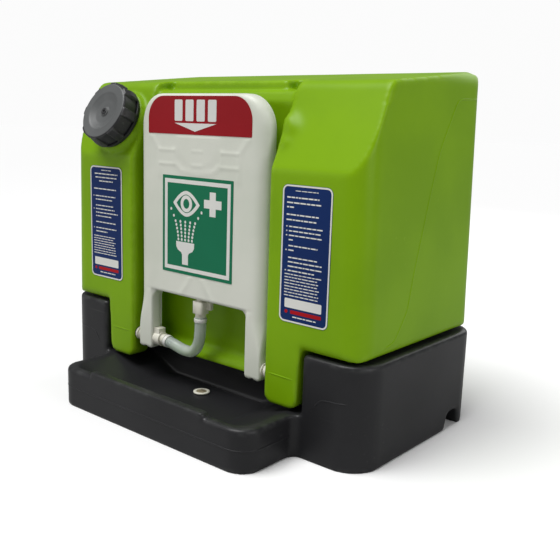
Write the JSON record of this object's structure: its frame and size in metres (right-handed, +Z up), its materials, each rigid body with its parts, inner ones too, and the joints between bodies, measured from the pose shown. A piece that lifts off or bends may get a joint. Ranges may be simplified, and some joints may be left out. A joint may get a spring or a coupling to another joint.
{
  "type": "eyewash station",
  "caption": "Portable gravity-fed eyewash station: moulded water tank on a tray base, with a fold-down arm that carries spray heads, a hose and a screw filler cap.",
  "frame": {"origin": "on the floor, at the centre of the overall width and depth", "axes": "+Z up, the arm and tray face -Y, +X is the right-hand side seen from the front"},
  "size_m": [0.632, 0.424, 0.541],
  "materials": {
    "tank_green": "satin rotomoulded polyethylene",
    "base_charcoal": "satin rotomoulded polyethylene",
    "arm_white": "satin natural polyethylene, slightly translucent",
    "fitting_white": "moulded nylon",
    "hose_clear": "translucent silicone rubber",
    "cap_grey": "moulded polypropylene, fine grain",
    "seal_rubber": "soft rubber",
    "clip_plastic": "moulded acetal",
    "screen_steel": "perforated sheet",
    "pull_red": "printed vinyl film",
    "sign_green": "printed vinyl film",
    "notes_navy": "printed vinyl film",
    "drain_tan": "moulded polypropylene"
  },
  "bodies": {
    "stand": {"tank": "tank_green", "base": "base_charcoal", "filler_neck": "cap_grey", "neck_gasket": "seal_rubber", "tether_ring": "cap_grey", "drain_bush": "fitting_white", "drain_seal": "seal_rubber", "drain_grating": "drain_tan", "notes_label_right": "notes_navy", "notes_label_left": "notes_navy", "pivot_pin_right": "fitting_white", "pivot_pin_left": "fitting_white", "pivot_seal_left": "seal_rubber", "pivot_nut_left": "fitting_white", "pivot_seal_right": "seal_rubber", "pivot_nut_right": "fitting_white"},
    "arm": {"arm_shell": "arm_white", "arm_back_panel": "arm_white", "arm_manifold": "fitting_white", "hose_inlet_fitting": "fitting_white", "hose_swivel": "fitting_white", "hose": "hose_clear", "hose_clip_lower": "clip_plastic", "hose_clip_upper": "clip_plastic", "spray_head_left": "fitting_white", "spray_screen_left": "screen_steel", "spray_ring_left": "fitting_white", "pivot_bush_left": "fitting_white", "spray_head_right": "fitting_white", "spray_screen_right": "screen_steel", "spray_ring_right": "fitting_white", "pivot_bush_right": "fitting_white", "swivel_ring": "seal_rubber", "pull_label": "pull_red", "eyewash_sign": "sign_green"},
    "cap_seal": {"cap_gasket": "seal_rubber"},
    "cap": {"screw_cap": "cap_grey", "cap_vent": "cap_grey"}
  },
  "joints": [
    {"name": "arm_hinge", "type": "hinge", "parent": "stand", "child": "arm", "pos_m": [0, -0.094, 0.106], "axis": [1, 0, 0], "range_deg": [0, 90]},
    {"name": "cap_lift", "type": "slide", "parent": "stand", "child": "cap_seal", "axis": [0, -0.9063, 0.4226], "range_m": [0, 0.012]},
    {"name": "cap_turn", "type": "hinge", "parent": "cap_seal", "child": "cap", "pos_m": [-0.2, -0.08382, 0.451], "axis": [0, -0.9063, 0.4226], "range_deg": [0, 720]}
  ],
  "couplings": [
    {"joint": "cap_lift", "follows": "cap_turn", "m_per_rad": 0.00095493}
  ]
}
